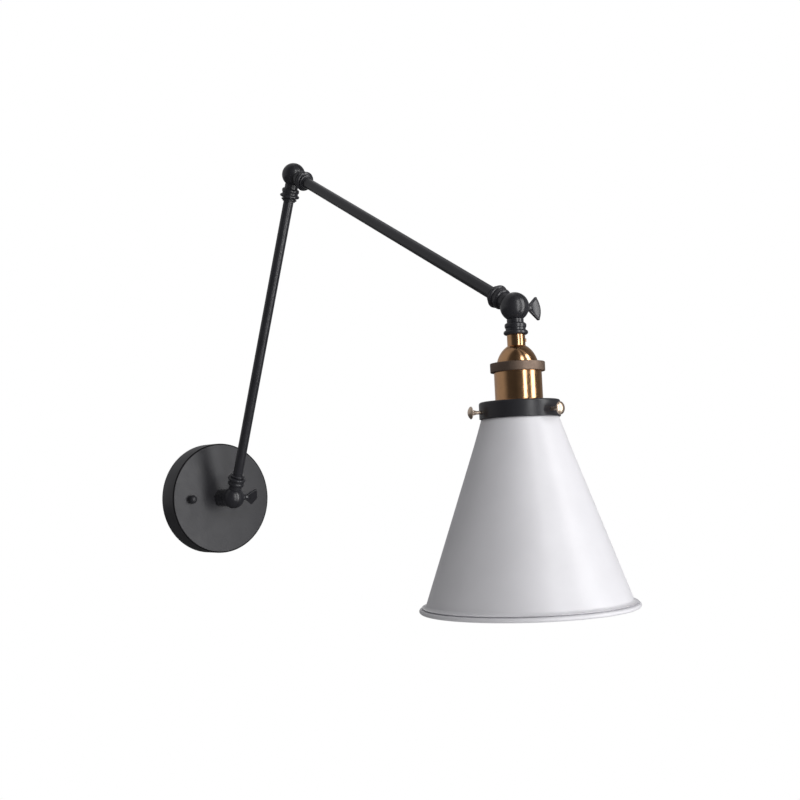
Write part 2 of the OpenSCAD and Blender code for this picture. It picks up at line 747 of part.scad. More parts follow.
// Outline of the dome from its neck to its foot: the middle part of a quarter circle, fitted between them
dome_from = 28;
dome_to = 76;
function dome_curve(top_r, top, foot_r, foot) =
    [for (i = [0 : dome_steps]) let (a = dome_from + (dome_to - dome_from) * i / dome_steps)
        [top_r + (foot_r - top_r) * (sin(a) - sin(dome_from)) / (sin(dome_to) - sin(dome_from)),
        top + (foot - top) * (cos(dome_from) - cos(a)) / (cos(dome_from) - cos(dome_to))]];
function reversed(points) = [for (i = [len(points) - 1 : -1 : 0]) points[i]];
module socket_cap() {
    bore_r = nipple_r + fit_gap;
    color(brass) head_frame() difference() {
        rotate_extrude() polygon(concat(
            [[bore_r, brass_neck_start], [brass_neck_r, brass_neck_start]],
            dome_curve(brass_neck_r, dome_start, dome_r, band_start),
            [[dome_r, core_start], [dome_r - dome_wall, core_start]],
            reversed(dome_curve(brass_neck_r - dome_wall, dome_start + dome_wall,
                dome_r - dome_wall, band_start)),
            [[bore_r, dome_start + dome_wall]]));
        set_screw_place() cylinder(r = set_screw_d / 2 + fit_gap, h = brass_neck_d);
    }
}
set_screw_turn = 52;
module set_screw_place() {
    translate([0, 0, brass_neck_start + brass_neck_len / 2]) rotate([0, 0, -set_screw_turn])
        rotate([-90, 0, 0]) translate([0, 0, nipple_r + fit_gap]) children();
}
module socket_set_screw() {
    length = brass_neck_r + set_screw_out - nipple_r - fit_gap;
    slot = set_screw_d / 4;
    color(bronze) head_frame() set_screw_place() difference() {
        cylinder(r = set_screw_d / 2, h = length);
        translate([-set_screw_d, -slot / 2, length - slot]) cube([2 * set_screw_d, slot, 2 * slot]);
    }
}
module socket_band() {
    chamfer = band_h / 12;
    color(bronze) head_frame() rotate_extrude() polygon([
        [dome_r + fit_gap, band_start], [band_d / 2 - chamfer, band_start],
        [band_d / 2, band_start + chamfer], [band_d / 2, shell_start - chamfer],
        [band_d / 2 - chamfer, shell_start], [shell_r + fit_gap, shell_start],
        [shell_r + fit_gap, core_start], [dome_r + fit_gap, core_start]]);
}
module socket_shell() {
    color(brass) head_frame() rotate_extrude() polygon(concat(
        [[shell_r - shell_wall, core_start], [shell_r, core_start]],
        bead(collar_start - lip_w, lip_w, shell_r, shell_r + lip_out, shell_r),
        [[shell_r, shell_stop], [shell_r - shell_wall, shell_stop]]));
}
module socket_core() {
    color("ghostwhite") head_frame() difference() {
        translate([0, 0, core_start]) cylinder(r = core_r, h = cup_end - core_start);
        translate([0, 0, cup_start]) cylinder(r = cup_r, h = core_cup + overrun);
        for (side = [-1, 1]) translate([0, side * terminal_spacing / 2, core_start - overrun])
            cylinder(r = terminal_d / 4 + fit_gap, h = core_floor / 2 + overrun);
    }
}
module terminal_screws() {
    color(brass) head_frame() for (side = [-1, 1]) translate([0, side * terminal_spacing / 2, core_start]) {
        translate([0, 0, -terminal_h]) cylinder(r = terminal_d / 2, h = terminal_h);
        cylinder(r = terminal_d / 4, h = core_floor / 2 - seat_gap);
    }
}
module centre_contact() {
    plate = 2 * screw_shell_wall;
    color(brass) head_frame() translate([0, 0, cup_start]) {
        cylinder(r = contact_d / 2, h = plate);
        cylinder(r = contact_d / 4, h = contact_h);
    }
}
module screw_shell() {
    color(plain_steel) head_frame() translate([0, 0, cup_start]) difference() {
        cylinder(r = screw_shell_r + screw_shell_wall, h = core_cup - screw_shell_inset);
        translate([0, 0, screw_shell_wall]) cylinder(r = screw_shell_r, h = core_cup);
        translate([0, 0, -overrun]) cylinder(r = contact_d / 2 + 2 * screw_shell_wall, h = core_cup);
    }
}
module shade_holder() {
    inner_edge_r = collar_edge_r - collar_wall;
    color(black_metal) head_frame() difference() {
        rotate_extrude() polygon(concat(
            [[shell_r + fit_gap, collar_start + collar_wall], [shell_r + fit_gap, collar_start]],
            arc(collar_r - collar_edge_r, collar_start + collar_edge_r, collar_edge_r, -90, 0, edge_steps),
            [[collar_r, collar_end], [collar_r - collar_wall, collar_end]],
            arc(collar_r - collar_wall - inner_edge_r, collar_start + collar_edge_r,
                inner_edge_r, 0, -90, edge_steps)));
        for (i = [1 : shade_screws]) shade_screw_frame(i)
            cylinder(r = shade_screw_r + running_gap, h = 2 * collar_r);
    }
}
module clamping_ring() {
    color(black_metal) head_frame() translate([0, 0, collar_start + collar_wall])
        ring(ring_nut_d / 2, shell_r + fit_gap, ring_nut_h);
}
// Local +Z runs out along the screw from the head's axis
module shade_screw_frame(index) {
    translate([0, 0, screw_level]) rotate([0, 0, -shade_screw_turn - 360 * (index - 1) / shade_screws])
        rotate([-90, 0, 0]) children();
}
// Thumb screw with a thin dish, domed outwards, on a short cone
module shade_screw(index) {
    cone_r = shade_screw_cone_d / 2;
    cone_angle = acos(cone_r / dish_inner_r);
    edge_angle = acos(dish_r / dish_sphere_r);
    cone_end = dish_centre + dish_inner_r * sin(cone_angle);
    color(copper_brass) head_frame() shade_screw_frame(index) rotate_extrude() polygon(concat(
        [[0, screw_tip_r], [shade_screw_r, screw_tip_r], [shade_screw_r, cone_end - shade_screw_cone_len]],
        arc(0, dish_centre, dish_inner_r, cone_angle, edge_angle, edge_steps),
        arc(0, dish_centre, dish_sphere_r, edge_angle, 90, dome_steps)));
}
module shade_screw_1() {
    shade_screw(1);
}
module shade_screw_2() {
    shade_screw(2);
}
module shade_screw_3() {
    shade_screw(3);
}
module shade() {
    top_r = shade_top_d / 2;
    ease_r = top_r + (shade_foot_r - top_r) * shade_ease_out_share;
    ease = shade_shoulder + (shade_foot - shade_shoulder) * shade_ease_len_share;
    flare_end = shade_foot + shade_flare_h;
    groove_r = shade_flare_r - shade_groove_in;
    groove = flare_end + shade_groove_in;
    color(white_enamel) head_frame() rotate_extrude() union() {
        polygon(concat([
            [shade_neck_r - shade_wall, shade_neck_top], [shade_neck_r + shade_lip_out, shade_neck_top],
            [shade_neck_r + shade_lip_out, shade_neck_top + shade_lip_h / 2],
            [shade_neck_r, shade_neck_top + shade_lip_h], [shade_neck_r, shade_shoulder - shade_wall],
            [top_r - shade_wall, shade_shoulder - shade_wall / 2], [top_r, shade_shoulder],
            [ease_r, ease]],
            [for (i = [0 : edge_steps]) let (a = 90 * i / edge_steps)
                [shade_foot_r + shade_flare_out * (1 - cos(a)), shade_foot + shade_flare_h * sin(a)]],
            [[groove_r, groove], [bead_centre_r, bead_level], [groove_r - shade_wall, groove]],
            [for (i = [edge_steps - 1 : -1 : 0]) let (a = 90 * i / edge_steps)
                [shade_foot_r - shade_wall + shade_flare_out * (1 - cos(a)),
                shade_foot + shade_wall + shade_flare_h * sin(a)]],
            [[ease_r - shade_wall, ease], [top_r - shade_wall, shade_shoulder + shade_wall],
            [shade_neck_r - shade_wall, shade_shoulder]]));
        translate([bead_centre_r, bead_level]) circle(r = shade_bead_r);
    }
}
module bulb_cap() {
    color("gainsboro") head_frame() rotate_extrude() polygon([
        [0, bulb_tip], [bulb_cap_r / 3, bulb_tip], [bulb_cap_r / 3, bulb_tip + bulb_tip_h],
        [bulb_cap_r, bulb_tip + bulb_tip_h + bulb_cone_h], [bulb_cap_r, bulb_cap_end],
        [bulb_cap_r - bulb_cap_wall, bulb_cap_end],
        [bulb_cap_r - bulb_cap_wall, bulb_tip + bulb_tip_h + bulb_cone_h + bulb_cap_wall],
        [0, bulb_tip + bulb_tip_h + bulb_cone_h + bulb_cap_wall]]);
}
// Glass outline, from its neck in the cap to the end, for the outside and for the inside
bulb_neck_start = bulb_cap_end - bulb_cap_len / 4;
function bulb_curve(inset) = concat(
    [[bulb_neck_r - inset, bulb_neck_start], [bulb_neck_r - inset, bulb_cap_end]],
    [for (i = [1 : dome_steps]) let (t = i / dome_steps)
        [bulb_neck_r + (bulb_r - bulb_neck_r) * (1 - cos(180 * t)) / 2 - inset,
        bulb_cap_end + (bulb_middle - bulb_cap_end) * t]],
    [for (i = [1 : dome_steps]) let (a = 90 * i / dome_steps)
        [(bulb_r - inset) * cos(a), bulb_middle + (bulb_r - inset) * sin(a)]]);
module bulb_glass() {
    color("whitesmoke", 0.6) head_frame()
        rotate_extrude() polygon(concat(bulb_curve(0), reversed(bulb_curve(glass_wall))));
}
module bulb_filament() {
    foot = bulb_tip + bulb_tip_h + bulb_cone_h + bulb_cap_wall;
    stem_r = bulb_neck_r / 3;
    top = bulb_middle - bulb_r / 3;
    spread = bulb_r / 3;
    rod_r = bulb_cap_wall * 2;
    color("khaki") head_frame() {
        translate([0, 0, foot]) cylinder(r = stem_r, h = bulb_cap_end - foot + stem_r);
        translate([0, 0, bulb_cap_end]) cylinder(r = rod_r, h = bulb_middle + spread - bulb_cap_end);
        for (i = [1 : filaments]) rotate([0, 0, 360 * i / filaments]) {
            translate([0, 0, top]) rotate([0, 90, 0]) cylinder(r = rod_r / 2, h = spread);
            translate([spread, 0, top - rod_r]) cylinder(r = rod_r, h = bulb_r + 2 * rod_r);
            translate([0, 0, top + bulb_r]) rotate([0, 90, 0]) cylinder(r = rod_r / 2, h = spread);
        }
    }
}

canopy();
mounting_bar();
canopy_studs();
cap_nuts();
earth_screw();
stem_knuckle();
lock_washer();
locknut();
stem_wires();
wire_connectors();
base_washer();
base_wing_screw();
lower_foot_knuckle();
lower_arm_tube();
lower_top_knuckle();
lower_arm_wires();
elbow_screw();
elbow_washer();
upper_foot_knuckle();
upper_arm_tube();
upper_end_knuckle();
upper_arm_wires();
head_washer();
head_wing_screw();
head_knuckle();
head_wires();
socket_cap();
socket_set_screw();
socket_band();
socket_shell();
socket_core();
terminal_screws();
centre_contact();
screw_shell();
shade_holder();
clamping_ring();
shade_screw_1();
shade_screw_2();
shade_screw_3();
shade();
bulb_cap();
bulb_glass();
bulb_filament();
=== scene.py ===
import json
import math

import bmesh
import bpy
from mathutils import Matrix, Vector


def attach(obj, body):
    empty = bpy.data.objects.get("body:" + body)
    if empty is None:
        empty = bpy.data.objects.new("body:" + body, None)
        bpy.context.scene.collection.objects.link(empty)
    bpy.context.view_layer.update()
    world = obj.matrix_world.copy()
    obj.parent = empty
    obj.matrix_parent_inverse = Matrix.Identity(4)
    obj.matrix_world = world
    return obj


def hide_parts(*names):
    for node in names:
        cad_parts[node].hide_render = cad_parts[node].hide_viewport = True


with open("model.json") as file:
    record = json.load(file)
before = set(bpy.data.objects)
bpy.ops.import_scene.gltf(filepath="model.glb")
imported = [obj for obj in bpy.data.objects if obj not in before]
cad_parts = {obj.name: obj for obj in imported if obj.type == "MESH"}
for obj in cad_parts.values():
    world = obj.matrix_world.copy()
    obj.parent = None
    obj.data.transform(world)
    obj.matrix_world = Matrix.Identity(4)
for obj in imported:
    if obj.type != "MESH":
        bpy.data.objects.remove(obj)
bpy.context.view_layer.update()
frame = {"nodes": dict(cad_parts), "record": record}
nodes = frame["nodes"]
scene = bpy.context.scene
MM = 0.001

# Sizes of the lamp in millimetres, as its solids have them
BALL_R, PIVOT_R, BLIND_WALL, SEAT_CUT = 12.0, 2.5, 2.6, 1.15
SHOULDER_R, SHOULDER_H, WING_NECK_R, WING_NECK_LEN = 4.4, 1.6, 3.1, 4.8
WING_SPAN, WING_REACH, WING_T, WING_ROOT = 20.2, 17.4, 2.6, 7.0
WING_ARCH_SHARE, WING_LOBE_SHARE = 0.8, 0.6
BASE_WING_ANGLE, HEAD_WING_ANGLE, SHADE_SCREW_TURN = 34.0, -7.0, 5.0
CANOPY_R, CANOPY_DEPTH, CANOPY_WALL, CANOPY_EDGE_R, THREAD_HOLE_R = 61.5, 25.0, 1.2, 1.9, 5.3
STUD_X, STUD_HOLE_R = 39.0, 2.05
CAP_NUT_R, CAP_NUT_H, CAP_NUT_SKIRT, CAP_NUT_BORE = 4.75, 8.2, 3.6, 6.2
NIPPLE_HOLE_R, BRASS_NECK_R, DOME_R, DOME_WALL = 4.95, 7.45, 16.8, 1.0
BAND_R, SHELL_R, SHELL_WALL, LIP_W, LIP_OUT = 22.4, 19.5, 0.8, 1.2, 0.8
COLLAR_R, COLLAR_WALL, COLLAR_EDGE_R = 33.1, 1.0, 2.2
SHADE_SCREW_R, SHADE_SCREW_OUT, SHADE_SCREW_RISE = 1.5, 11.2, 5.3
DISH_R, DISH_H, DISH_T, DISH_CONE_R, DISH_CONE_LEN = 5.2, 2.4, 0.9, 2.8, 6.0
SHADE_R, SHADE_WALL, SHADE_TOP_R, SHADE_NECK_R, SHADE_NECK_H = 88.9, 0.8, 31.7, 28.4, 9.8
SHADE_LIP_OUT, BEAD_R, BEAD_OUT = 1.6, 1.8, 2.2
FLARE_RISE, FLARE_OUT, FLARE_H = 7.6, 4.0, 2.9
SIDE_EASE_OUT, SIDE_EASE_DOWN, SIDE_EASE_BLEND = 0.106, 0.116, 0.08
BULB_R, BULB_CAP_R, BULB_NECK_R, GLASS_WALL = 30.0, 13.0, 12.2, 1.0
THREAD_START, THREAD_PITCH, THREAD_TURNS = 6.4, 2.4, 7
MOUNT_R, FILAMENT_OUT, FILAMENT_R, SUPPORT_R = 4.07, 10.0, 1.0, 0.4
CONNECTOR_R, CONNECTOR_TIP_R, CONNECTOR_LEN, CONNECTOR_BORE_R, CONNECTOR_BORE = 4.5, 2.4, 15.0, 1.25, 9.0
CONNECTOR_RIBS, RIB_SHARE = 12, 0.055
CONNECTOR_MIDDLE, CONNECTOR_APART, CONNECTOR_DEPTH, CONNECTOR_SHIFT = -2.2, 7.35, 6.8, 0.969
FIT, GAP = 0.05, 0.3

# Levels down the head's axis from its pivot
NECK = 23.3
DOME = NECK + 9.0
BAND = DOME + 13.9
CORE = BAND + 2.6
SHELL = BAND + 7.5
COLLAR = SHELL + 23.8
SHELL_STOP = COLLAR + 7.0
COLLAR_END = COLLAR + 13.9
RIM_END = COLLAR_END + 154.3
BULB_TIP = CORE + 10.0
BULB_CAP_END = BULB_TIP + 24.5
BULB_END = BULB_TIP + 107.0
BULB_MIDDLE = BULB_END - BULB_R

PIVOTS = {j["name"]: Vector(j["pos_m"]) / MM for j in frame["record"]["behaviour"]["joints"]}
BASE, HEAD = PIVOTS["base_tilt"], PIVOTS["head_tilt"]


def turn_x(degrees):
    return Matrix.Rotation(math.radians(degrees), 4, "X")


def turn_y(degrees):
    return Matrix.Rotation(math.radians(degrees), 4, "Y")


def turn_z(degrees):
    return Matrix.Rotation(math.radians(degrees), 4, "Z")


def move(x, y, z):
    return Matrix.Translation((x, y, z))


OUT_OF_WALL = turn_x(90)
HEAD_FRAME = Matrix.Translation(HEAD) @ turn_x(180)


# Meshes
def add_object(name, bm, place, body, sharp=38.0):
    """Makes the object of a bmesh in millimetres, in the row frame, smooth but for its sharp edges."""
    bmesh.ops.remove_doubles(bm, verts=bm.verts, dist=1e-4)
    bmesh.ops.recalc_face_normals(bm, faces=bm.faces)
    bmesh.ops.transform(bm, matrix=Matrix.Scale(MM, 4) @ place, verts=bm.verts)
    mesh = bpy.data.meshes.new(name)
    bm.to_mesh(mesh)
    bm.free()
    mesh.shade_smooth()
    mesh.set_sharp_from_angle(angle=math.radians(sharp))
    o = bpy.data.objects.new(name, mesh)
    scene.collection.objects.link(o)
    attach(o, body)
    return o


def cos(degrees):
    return math.cos(math.radians(degrees))


def sin(degrees):
    return math.sin(math.radians(degrees))


def arc_points(x, y, r, start, end, steps):
    angles = [start + (end - start) * i / steps for i in range(steps + 1)]
    return [(x + r * cos(a), y + r * sin(a)) for a in angles]


def fillet(points, steps=4):
    """Closed outline whose corners, given as (x, y, r), are rounded by radius r."""
    out = []
    n = len(points)
    for i, p in enumerate(points):
        r = p[2] if len(p) > 2 else 0.0
        here = Vector(p[:2])
        if r <= 0:
            out.append((here.x, here.y))
            continue
        a = Vector(points[i - 1][:2]) - here
        b = Vector(points[(i + 1) % n][:2]) - here
        la, lb = a.length, b.length
        a.normalize()
        b.normalize()
        half = math.acos(max(-1.0, min(1.0, a.dot(b)))) / 2
        cut = min(r / max(math.tan(half), 1e-6), 0.49 * la, 0.49 * lb)
        pa, pb = here + a * cut, here + b * cut
        for k in range(steps + 1):
            t = k / steps
            q = pa * (1 - t) ** 2 + here * 2 * t * (1 - t) + pb * t ** 2
            out.append((q.x, q.y))
    return out


def lathe(bm, outline, steps=96, place=None):
    """Turns a closed outline of (radius, height) about Z."""
    rings = []
    for r, z in outline:
        if r < 1e-6:
            ring = [bm.verts.new((0, 0, z))]
        else:
            ring = [bm.verts.new((r * math.cos(2 * math.pi * k / steps),
                                  r * math.sin(2 * math.pi * k / steps), z)) for k in range(steps)]
        rings.append(ring)
    verts = [v for ring in rings for v in ring]
    for a, b in zip(rings, rings[1:] + rings[:1]):
        if len(a) == 1 and len(b) == 1:
            continue
        for k in range(steps):
            j = (k + 1) % steps
            if len(a) == 1:
                bm.faces.new((a[0], b[k], b[j]))
            elif len(b) == 1:
                bm.faces.new((a[k], b[0], a[j]))
            else:
                bm.faces.new((a[k], b[k], b[j], a[j]))
    if place is not None:
        bmesh.ops.transform(bm, matrix=place, verts=verts)
    return verts


def turned(name, outline, place, body, steps=96, sharp=38.0):
    bm = bmesh.new()
    lathe(bm, outline, steps)
    return add_object(name, bm, place, body, sharp)


# Materials: noise scales are per metre, bump depths in metres
CLOUD_SCALE, SMEAR_SCALE, PATCH_SCALE, TOOL_SCALE, POLISH_SCALE = 38.0, 75.0, 60.0, 900.0, 130.0
SMEAR_DEPTH, COAT_ROUGHNESS = 0.00006, 0.12


def new_material(name):
    """An empty node material with a Principled shader: the material, its tree and the shader."""
    m = bpy.data.materials.new(name)
    m.use_nodes = True
    tree = m.node_tree
    tree.nodes.clear()
    out = tree.nodes.new("ShaderNodeOutputMaterial")
    shader = tree.nodes.new("ShaderNodeBsdfPrincipled")
    tree.links.new(shader.outputs[0], out.inputs[0])
    return m, tree, shader


def noise_node(tree, coordinates, scale, detail=3.0, rough=0.5, stretch=None):
    n = tree.nodes.new("ShaderNodeTexNoise")
    n.inputs["Scale"].default_value = scale
    n.inputs["Detail"].default_value = detail
    n.inputs["Roughness"].default_value = rough
    if stretch:
        m = tree.nodes.new("ShaderNodeMapping")
        m.inputs["Scale"].default_value = stretch
        tree.links.new(coordinates, m.inputs["Vector"])
        tree.links.new(m.outputs[0], n.inputs["Vector"])
    else:
        tree.links.new(coordinates, n.inputs["Vector"])
    return n.outputs["Fac"]


def ramp(tree, value, low, high, a, b):
    """Maps value from low..high to the numbers or colours a..b."""
    if isinstance(a, (int, float)):
        n = tree.nodes.new("ShaderNodeMapRange")
        n.inputs["From Min"].default_value = low
        n.inputs["From Max"].default_value = high
        n.inputs["To Min"].default_value = a
        n.inputs["To Max"].default_value = b
        tree.links.new(value, n.inputs["Value"])
        return n.outputs["Result"]
    n = tree.nodes.new("ShaderNodeValToRGB")
    n.color_ramp.elements[0].position = low
    n.color_ramp.elements[1].position = high
    n.color_ramp.elements[0].color = (*a, 1)
    n.color_ramp.elements[1].color = (*b, 1)
    tree.links.new(value, n.inputs["Fac"])
    return n.outputs["Color"]


def mix_colour(tree, factor, a, b):
    """Goes from a to b with the factor; each is a colour or an output."""
    n = tree.nodes.new("ShaderNodeMix")
    n.data_type = "RGBA"
    sockets = [s for s in n.inputs if s.type == "RGBA"]
    for socket, value in zip(sockets, (a, b)):
        if isinstance(value, tuple):
            socket.default_value = (*value, 1)
        else:
            tree.links.new(value, socket)
    tree.links.new(factor, n.inputs[0])
    return [s for s in n.outputs if s.type == "RGBA"][0]


def math_node(tree, operation, a, b):
    """A Math node of two numbers or outputs."""
    n = tree.nodes.new("ShaderNodeMath")
    n.operation = operation
    for socket, value in zip(n.inputs, (a, b)):
        if isinstance(value, (int, float)):
            socket.default_value = value
        else:
            tree.links.new(value, socket)
    return n.outputs[0]


def bump(tree, shader, heights):
    """Chains bumps: heights are (value, strength, distance in metres)."""
    last = None
    for value, strength, distance in heights:
        n = tree.nodes.new("ShaderNodeBump")
        n.inputs["Strength"].default_value = strength
        n.inputs["Distance"].default_value = distance
        tree.links.new(value, n.inputs["Height"])
        if last is not None:
            tree.links.new(last, n.inputs["Normal"])
        last = n.outputs["Normal"]
    tree.links.new(last, shader.inputs["Normal"])


def object_place(tree):
    return tree.nodes.new("ShaderNodeTexCoord").outputs["Object"]


def coated(name, dark, light, rough=(0.40, 0.52), grain=1500.0, grain_depth=0.00001, specular=0.5, coat=0.0):
    """Sprayed or moulded surface: fine orange peel, cloudy colour and cloudy gloss."""
    m, t, s = new_material(name)
    c = object_place(t)
    cloud = noise_node(t, c, CLOUD_SCALE, 4.0)
    fine = noise_node(t, c, grain, 2.0)
    colour = ramp(t, cloud, 0.35, 0.68, dark, light)
    t.links.new(colour, s.inputs["Base Color"])
    smear = noise_node(t, c, SMEAR_SCALE, 5.0, 0.6)
    t.links.new(ramp(t, smear, 0.3, 0.7, rough[0], rough[1]), s.inputs["Roughness"])
    s.inputs["Specular IOR Level"].default_value = specular
    s.inputs["Coat Weight"].default_value = coat
    s.inputs["Coat Roughness"].default_value = COAT_ROUGHNESS
    bump(t, s, [(fine, 0.25, grain_depth), (smear, 0.05, SMEAR_DEPTH)])
    return m


def metal(name, base, tarnish, rough=(0.16, 0.30), spots=(0.50, 0.75), brushed=None, grain_depth=0.00002):
    """Turned metal: fine tool lines round the axis, patches of tarnish and uneven polish."""
    m, t, s = new_material(name)
    c = object_place(t)
    patch = noise_node(t, c, PATCH_SCALE, 6.0, 0.62)
    fine = noise_node(t, c, TOOL_SCALE, 3.0)
    colour = ramp(t, patch, spots[0], spots[1], base, tarnish)
    t.links.new(colour, s.inputs["Base Color"])
    s.inputs["Metallic"].default_value = 1.0
    polish = noise_node(t, c, POLISH_SCALE, 5.0, 0.6)
    t.links.new(ramp(t, polish, 0.3, 0.7, rough[0], rough[1]), s.inputs["Roughness"])
    heights = [(fine, 0.10, grain_depth)]
    if brushed:
        heights.append((noise_node(t, c, 1.0, 3.0, 0.5, brushed), 0.12, grain_depth))
    bump(t, s, heights)
    return m


BLACK = coated("satin_black", (0.0205, 0.0205, 0.0250), (0.0275, 0.0275, 0.0330), (0.26, 0.33), 1300.0,
               0.000004, 0.72)
CANOPY_BLACK = coated("canopy_black", (0.0250, 0.0247, 0.0292), (0.0345, 0.0341, 0.0395), (0.38, 0.48), 1100.0,
                      0.000008, 0.55)
COLLAR_BLACK = coated("collar_black", (0.0225, 0.0225, 0.0265), (0.0285, 0.0285, 0.0330), (0.30, 0.38), 1500.0,
                      0.000004, 0.50)
WHITE = coated("white_enamel", (0.778, 0.770, 0.802), (0.803, 0.795, 0.828), (0.36, 0.44), 900.0,
               0.000004, 0.45, coat=0.06)
ZINC = metal("zinc_plate", (0.56, 0.57, 0.59), (0.40, 0.40, 0.40), (0.30, 0.45))
BRASS = metal("aged_brass", (0.80, 0.462, 0.238), (0.64, 0.372, 0.196), (0.14, 0.22), (0.42, 0.72),
              (60.0, 60.0, 6500.0), 0.000008)
BRONZE = metal("dull_bronze", (0.32, 0.238, 0.190), (0.24, 0.178, 0.140), (0.56, 0.66), (0.35, 0.68),
               (60.0, 60.0, 5200.0), 0.00002)
BRIGHT_BRASS = metal("bright_brass", (0.93, 0.76, 0.61), (0.82, 0.60, 0.45), (0.30, 0.42), (0.50, 0.80))
ALUMINIUM = metal("bright_aluminium", (0.80, 0.80, 0.81), (0.66, 0.66, 0.67), (0.18, 0.30))
GREEN = coated("earth_green", (0.015, 0.16, 0.05), (0.02, 0.21, 0.07), (0.32, 0.45))
WIRE = coated("wire_black", (0.014, 0.014, 0.015), (0.022, 0.022, 0.023), (0.45, 0.6), 800.0, 0.00003, 0.4)
CONNECTOR = coated("connector_amber", (0.62, 0.33, 0.04), (0.72, 0.42, 0.06), (0.42, 0.55), 700.0, 0.00003)
FIBRE = coated("fibre_washer", (0.020, 0.018, 0.017), (0.034, 0.031, 0.029), (0.65, 0.8), 1200.0, 0.00005, 0.3)
CERAMIC = coated("glazed_core", (0.66, 0.64, 0.60), (0.74, 0.72, 0.68), (0.18, 0.28), 400.0, 0.00002, 0.5, 0.3)

# Painted shade: along the canopy's rounded edge the base colour is darkened nearly to black and the specular lowered,
# a painted dark line in place of the shade there
t, s = CANOPY_BLACK.node_tree, CANOPY_BLACK.node_tree.nodes["Principled BSDF"]
place = t.nodes.new("ShaderNodeSeparateXYZ")
t.links.new(object_place(t), place.inputs[0])
across = math_node(t, "SQRT", math_node(t, "ADD", math_node(t, "POWER", place.outputs["X"], 2.0),
                                        math_node(t, "POWER", place.outputs["Z"], 2.0)), 0.0)
painted_edge_shade = math_node(t, "MULTIPLY", ramp(t, across, (CANOPY_R - CANOPY_EDGE_R) * MM, (CANOPY_R - 1.2) * MM, 0.0, 1.0),
                 ramp(t, place.outputs["Y"], -(CANOPY_DEPTH - 0.5) * MM, -(CANOPY_DEPTH - 1.0) * MM, 1.0, 0.0))
colour = s.inputs["Base Color"].links[0].from_socket
# Painted shade on the edge ring: colour mixed towards near-black, specular turned down
t.links.new(mix_colour(t, painted_edge_shade, colour, (0.004, 0.004, 0.005)), s.inputs["Base Color"])
t.links.new(ramp(t, painted_edge_shade, 0.0, 1.0, 0.55, 0.08), s.inputs["Specular IOR Level"])

SLOT_MATERIAL = {
    "black": BLACK, "zinc": ZINC, "green_steel": GREEN, "insulation": WIRE, "connector": CONNECTOR,
    "friction_disc": FIBRE, "brass": BRASS, "bronze": BRONZE, "insulator": CERAMIC, "aluminium": ALUMINIUM,
    "bright_brass": BRIGHT_BRASS, "white_enamel": WHITE,
}


def paint(o, material):
    o.data.materials.clear()
    o.data.materials.append(material)
    for p in o.data.polygons:
        p.material_index = 0


for sub in frame["record"]["subparts"]:
    if sub["material_slot"] in SLOT_MATERIAL:
        paint(nodes[sub["node"]], SLOT_MATERIAL[sub["material_slot"]])
paint(nodes["canopy"], CANOPY_BLACK)
paint(nodes["shade_holder"], COLLAR_BLACK)


# Pieces made finer than their solids, with rounded edges: each replaces the node of its name
def offset_ring(points, inset):
    """Moves a closed, anticlockwise outline inwards by a small amount."""
    out = []
    n = len(points)
    for i in range(n):
        a, b, c = Vector(points[i - 1]), Vector(points[i]), Vector(points[(i + 1) % n])
        d = ((b - a).normalized() + (c - b).normalized()).normalized()
        out.append((b.x - d.y * inset, b.y + d.x * inset))
    return out


def wing_outline():
    """A fan with an arched edge and a round lobe at each tip, from the shoulder's top along x."""
    arch, lobe = WING_SPAN * WING_ARCH_SHARE, WING_T * WING_LOBE_SHARE
    tip_y = WING_SPAN / 2 - lobe
    tip = math.degrees(math.asin(tip_y / arch))
    centre = WING_REACH - arch
    tip_x = centre + (arch - lobe) * cos(tip)
    root_x, root_y = WING_NECK_LEN, WING_ROOT / 2
    side = math.degrees(math.atan2(tip_y - root_y, tip_x - root_x)) + 90
    points = arc_points(centre, 0, arch, -tip, tip, 28)
    points += arc_points(tip_x, tip_y, lobe, tip, side, 8)[1:]
    flank = [(root_x, root_y), (root_x - 0.6, root_y - 0.4), (root_x - 1.0, root_y - 0.75)]
    points += flank + [(x, -y) for x, y in reversed(flank)]
    return points + arc_points(tip_x, -tip_y, lobe, -side, -tip, 8)[:-1]


def wing_screw(name, place, turn, body):
    """A wing screw through a ball, its leaf turned about the pivot's axis by the given angle."""
    bm = bmesh.new()
    frame_of_wing = Matrix.Translation(place) @ turn_x(90 + turn)
    foot, seat = BLIND_WALL + GAP - BALL_R, BALL_R - SEAT_CUT
    top = seat + SHOULDER_H
    lathe(bm, fillet([
        (0, foot), (PIVOT_R, foot, 0.4), (PIVOT_R, seat), (SHOULDER_R, seat, 0.25), (SHOULDER_R, top, 0.4),
        (WING_NECK_R + 0.3, top + 0.1, 0.3), (WING_NECK_R - 0.3, top + WING_NECK_LEN * 0.45, 1.2),
        (WING_NECK_R, top + WING_NECK_LEN, 0.8), (WING_T / 2, top + WING_NECK_LEN + WING_NECK_R, 0.3),
        (0, top + WING_NECK_LEN + WING_NECK_R)]), 64, turn_y(90))
    outline = [(x + top, y) for x, y in wing_outline()]
    half = WING_T / 2
    # How far in from the outline, and the share of half the thickness there: a raised border, then a lower field
    profile = [(0.0, 0.0), (0.12, 0.5), (0.35, 0.86), (0.75, 1.0), (1.15, 0.97), (1.55, 0.72), (2.1, 0.62)]
    rings = []
    for inset, height in [(i, -h) for i, h in reversed(profile[1:])] + profile:
        ring = offset_ring(outline, inset)
        rings.append([bm.verts.new((x, y, height * half)) for x, y in ring])
    count = len(outline)
    for a, b in zip(rings, rings[1:]):
        for k in range(count):
            j = (k + 1) % count
            bm.faces.new((a[k], a[j], b[j], b[k]))
    bm.faces.new(list(reversed(rings[0])))
    bm.faces.new(rings[-1])
    o = add_object(name + "_detailed", bm, frame_of_wing, body, 50.0)
    paint(o, BLACK)
    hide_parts(name)


wing_screw("base_wing_screw", BASE, BASE_WING_ANGLE, "base_wing")
wing_screw("head_wing_screw", HEAD, HEAD_WING_ANGLE, "head_wing")


